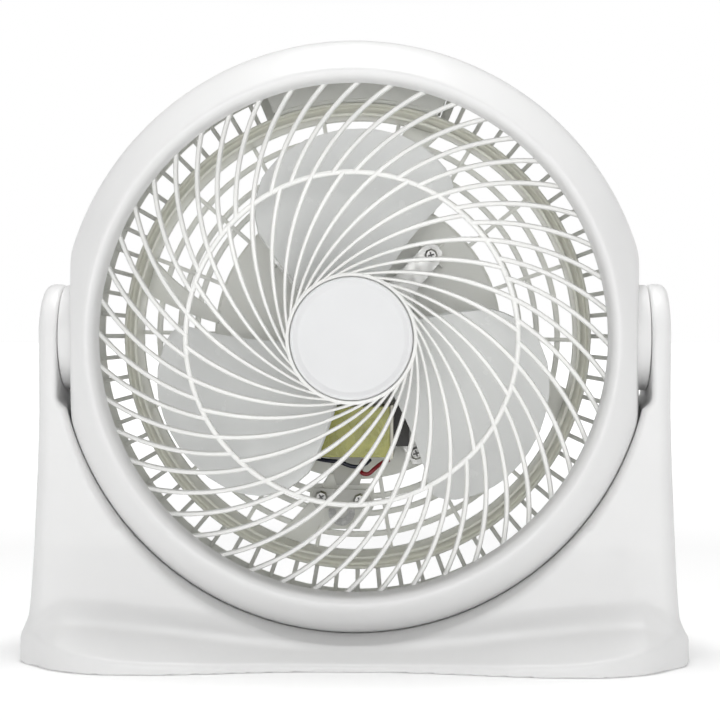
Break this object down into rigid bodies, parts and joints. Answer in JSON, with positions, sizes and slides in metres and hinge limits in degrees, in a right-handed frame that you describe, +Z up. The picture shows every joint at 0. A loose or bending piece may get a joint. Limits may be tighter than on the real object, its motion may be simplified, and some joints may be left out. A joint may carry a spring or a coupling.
{
  "type": "tilting desk fan",
  "caption": "Round-headed desk fan: a tilting head with a swirled grille and twisted blades, held between the arms of a U-shaped stand, with a speed dial on its back.",
  "frame": {"origin": "middle of the footprint, on the table top under the feet", "axes": "+X to the viewer's right when the grille faces the viewer, along the tilt axis; +Y to the back, so air leaves towards -Y; +Z up"},
  "size_m": [0.353, 0.152, 0.3272],
  "materials": {
    "white_plastic": "bright white moulded plastic, soft gloss",
    "grille_plastic": "white moulded plastic, soft gloss",
    "cap_plastic": "very light grey plastic, satin",
    "rear_plastic": "light warm grey plastic, satin",
    "duct_plastic": "beige grey plastic, satin",
    "underside_plastic": "grey plastic, matte",
    "blade_plastic": "light grey plastic, polished",
    "nut_plastic": "dark grey plastic",
    "clamp_plastic": "light grey plastic",
    "nylon": "natural nylon",
    "coil_tape": "olive yellow polyester tape over a copper winding",
    "switch_black": "black phenolic",
    "red_wire": "red PVC insulation",
    "blue_wire": "blue-black PVC insulation",
    "foot_rubber": "black rubber",
    "gland_rubber": "light grey rubber",
    "iron": "dark varnished steel laminations",
    "rotor_iron": "machined steel laminations",
    "bracket_zinc": "zinc plated steel sheet",
    "zinc_steel": "zinc plated steel",
    "shaft_steel": "ground steel",
    "bronze": "sintered bronze"
  },
  "bodies": {
    "stand": {"stand": "white_plastic", "base_plate": "underside_plastic", "foot_fl": "foot_rubber", "foot_fr": "foot_rubber", "foot_rl": "foot_rubber", "foot_rr": "foot_rubber", "base_screw_fl": "zinc_steel", "base_screw_fr": "zinc_steel", "base_screw_rl": "zinc_steel", "base_screw_rr": "zinc_steel", "pivot_cap_left": "white_plastic", "pivot_cap_right": "white_plastic"},
    "head": {"front_ring": "white_plastic", "front_grille": "grille_plastic", "hub_cap": "cap_plastic", "rear_cover": "rear_plastic", "handle_cup": "rear_plastic", "duct_ring": "duct_plastic", "stator_core": "iron", "coil_bobbin": "nylon", "coil_winding": "coil_tape", "front_bearing_bracket": "bracket_zinc", "front_bearing": "bronze", "rear_bearing": "bronze", "motor_mount_plate": "bracket_zinc", "mount_screw_upper_left": "zinc_steel", "mount_screw_upper_right": "zinc_steel", "mount_screw_lower_left": "zinc_steel", "mount_screw_lower_right": "zinc_steel", "bracket_bolt_left": "zinc_steel", "bracket_bolt_right": "zinc_steel", "rotary_switch": "switch_black", "switch_nut": "zinc_steel", "cord_gland": "gland_rubber", "cord_clamp": "clamp_plastic", "clamp_screw_left": "zinc_steel", "clamp_screw_right": "zinc_steel", "lead_cover": "clamp_plastic", "red_lead": "red_wire", "blue_lead": "blue_wire", "pivot_bolt_left": "zinc_steel", "pivot_bolt_right": "zinc_steel", "pivot_nut_left": "zinc_steel", "pivot_nut_right": "zinc_steel", "pivot_washer_left": "zinc_steel", "pivot_washer_right": "zinc_steel"},
    "impeller": {"fan_blades": "blade_plastic", "motor_shaft": "shaft_steel", "blade_nut": "nut_plastic", "rotor": "rotor_iron", "thrust_washer": "nylon"},
    "knob": {"speed_knob": "white_plastic"}
  },
  "joints": [
    {"name": "head_tilt", "type": "hinge", "parent": "stand", "child": "head", "pos_m": [0, 0, 0.1685], "axis": [-1, 0, 0], "range_deg": [-20, 90]},
    {"name": "blade_spin", "type": "hinge", "parent": "head", "child": "impeller", "pos_m": [0, 0, 0.1685], "axis": [0, 1, 0], "continuous": true},
    {"name": "knob_turn", "type": "hinge", "parent": "head", "child": "knob", "pos_m": [0, 0.058, 0.2265], "axis": [0, -1, 0], "range_deg": [0, 135]}
  ]
}
